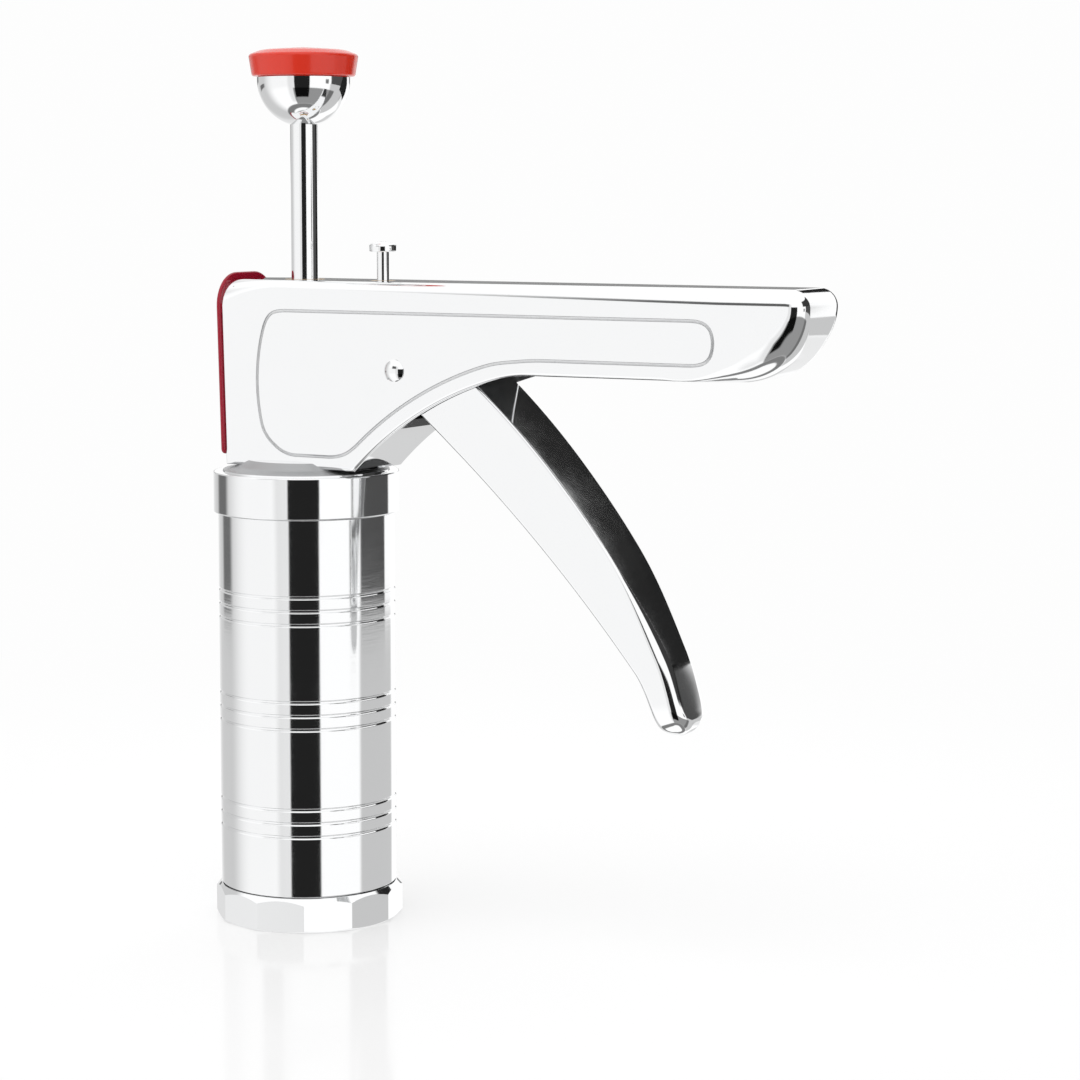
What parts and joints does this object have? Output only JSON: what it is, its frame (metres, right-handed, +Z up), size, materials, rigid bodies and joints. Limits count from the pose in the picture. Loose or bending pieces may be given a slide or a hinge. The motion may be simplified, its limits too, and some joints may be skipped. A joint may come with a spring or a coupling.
{
  "type": "cookie press",
  "caption": "Hand-held cookie press: a squeezed trigger steps a rod and piston down a polished barrel of dough and out through a screwed-on die.",
  "frame": {"origin": "centre of the die ring's resting face, on the barrel axis", "axes": "+Z up the barrel axis towards the knob, +X towards the handle and trigger, Y across the body"},
  "size_m": [0.1927, 0.0554, 0.2562],
  "materials": {
    "cast_chrome": "polished",
    "polished_steel": "polished",
    "plain_steel": "satin",
    "spring_steel": "satin",
    "bronze": "satin",
    "red_plastic": "gloss",
    "orange_plastic": "satin",
    "white_plastic": "satin",
    "die_aluminium": "satin",
    "silicone": "matte"
  },
  "bodies": {
    "frame": {"body_shell": "cast_chrome", "front_cover": "red_plastic", "cover_screws": "plain_steel", "barrel_collar": "cast_chrome", "collar_screws": "plain_steel", "lower_bush": "bronze", "upper_bush": "bronze", "pin_bush": "bronze", "pivot_pin": "polished_steel", "fulcrum_pin": "plain_steel", "return_spring": "spring_steel", "lock_spring": "spring_steel"},
    "trigger": {"trigger_lever": "cast_chrome", "pivot_sleeve": "bronze", "roller_pin": "plain_steel"},
    "roller": {"nose_roller": "plain_steel"},
    "drive": {"drive_plate": "plain_steel"},
    "lock": {"lock_plate": "plain_steel"},
    "release": {"release_pin": "polished_steel", "release_button": "polished_steel", "pin_clip": "spring_steel"},
    "plunger": {"piston_rod": "polished_steel", "piston_disc": "white_plastic", "piston_seal": "silicone", "piston_washer": "plain_steel", "piston_nut": "plain_steel", "knob_bowl": "cast_chrome", "knob_cap": "orange_plastic", "cap_insert": "bronze"},
    "gasket": {"barrel_gasket": "silicone"},
    "tube": {"barrel": "polished_steel"},
    "die": {"die_disc": "die_aluminium"},
    "ring": {"die_ring": "cast_chrome"}
  },
  "joints": [
    {"name": "trigger_squeeze", "type": "hinge", "parent": "frame", "child": "trigger", "pos_m": [0.039, 0, 0.1637], "axis": [0, -1, 0], "range_deg": [0, 30], "stiffness_Nm_per_rad": 0.25, "springref_deg": -20.05},
    {"name": "roller_spin", "type": "hinge", "parent": "trigger", "child": "roller", "pos_m": [0.011, 0, 0.1707], "axis": [0, 1, 0], "continuous": true},
    {"name": "drive_stroke", "type": "slide", "parent": "frame", "child": "drive", "axis": [0, 0, -1], "range_m": [0, 0.015], "deforming": ["return_spring", "lock_spring"]},
    {"name": "lock_tilt", "type": "hinge", "parent": "frame", "child": "lock", "pos_m": [-0.014, 0, 0.1785], "axis": [0, 1, 0], "range_deg": [0, 4.2], "stiffness_Nm_per_rad": 0.5, "springref_deg": -5.73},
    {"name": "release_press", "type": "slide", "parent": "frame", "child": "release", "axis": [0, 0, -1], "range_m": [0, 0.00305]},
    {"name": "plunger_slide", "type": "slide", "parent": "frame", "child": "plunger", "axis": [0, 0, -1], "range_m": [-0.07, 0.0425]},
    {"name": "barrel_travel", "type": "slide", "parent": "frame", "child": "gasket", "axis": [0, 0, -1], "range_m": [0, 0.0091]},
    {"name": "barrel_screw", "type": "hinge", "parent": "gasket", "child": "tube", "pos_m": [0, 0, 0.12], "axis": [0, 0, -1], "range_deg": [0, 1300]},
    {"name": "ring_travel", "type": "slide", "parent": "tube", "child": "die", "axis": [0, 0, -1], "range_m": [0, 0.0077]},
    {"name": "ring_screw", "type": "hinge", "parent": "die", "child": "ring", "pos_m": [0, 0, 0.005], "axis": [0, 0, -1], "range_deg": [0, 1100]}
  ],
  "couplings": [
    {"joint": "drive_stroke", "follows": "trigger_squeeze", "m_per_rad": 0.02853},
    {"joint": "release_press", "follows": "lock_tilt", "m_per_rad": 0.0411},
    {"joint": "barrel_travel", "follows": "barrel_screw", "m_per_rad": 0.00039789},
    {"joint": "ring_travel", "follows": "ring_screw", "m_per_rad": 0.00039789}
  ]
}
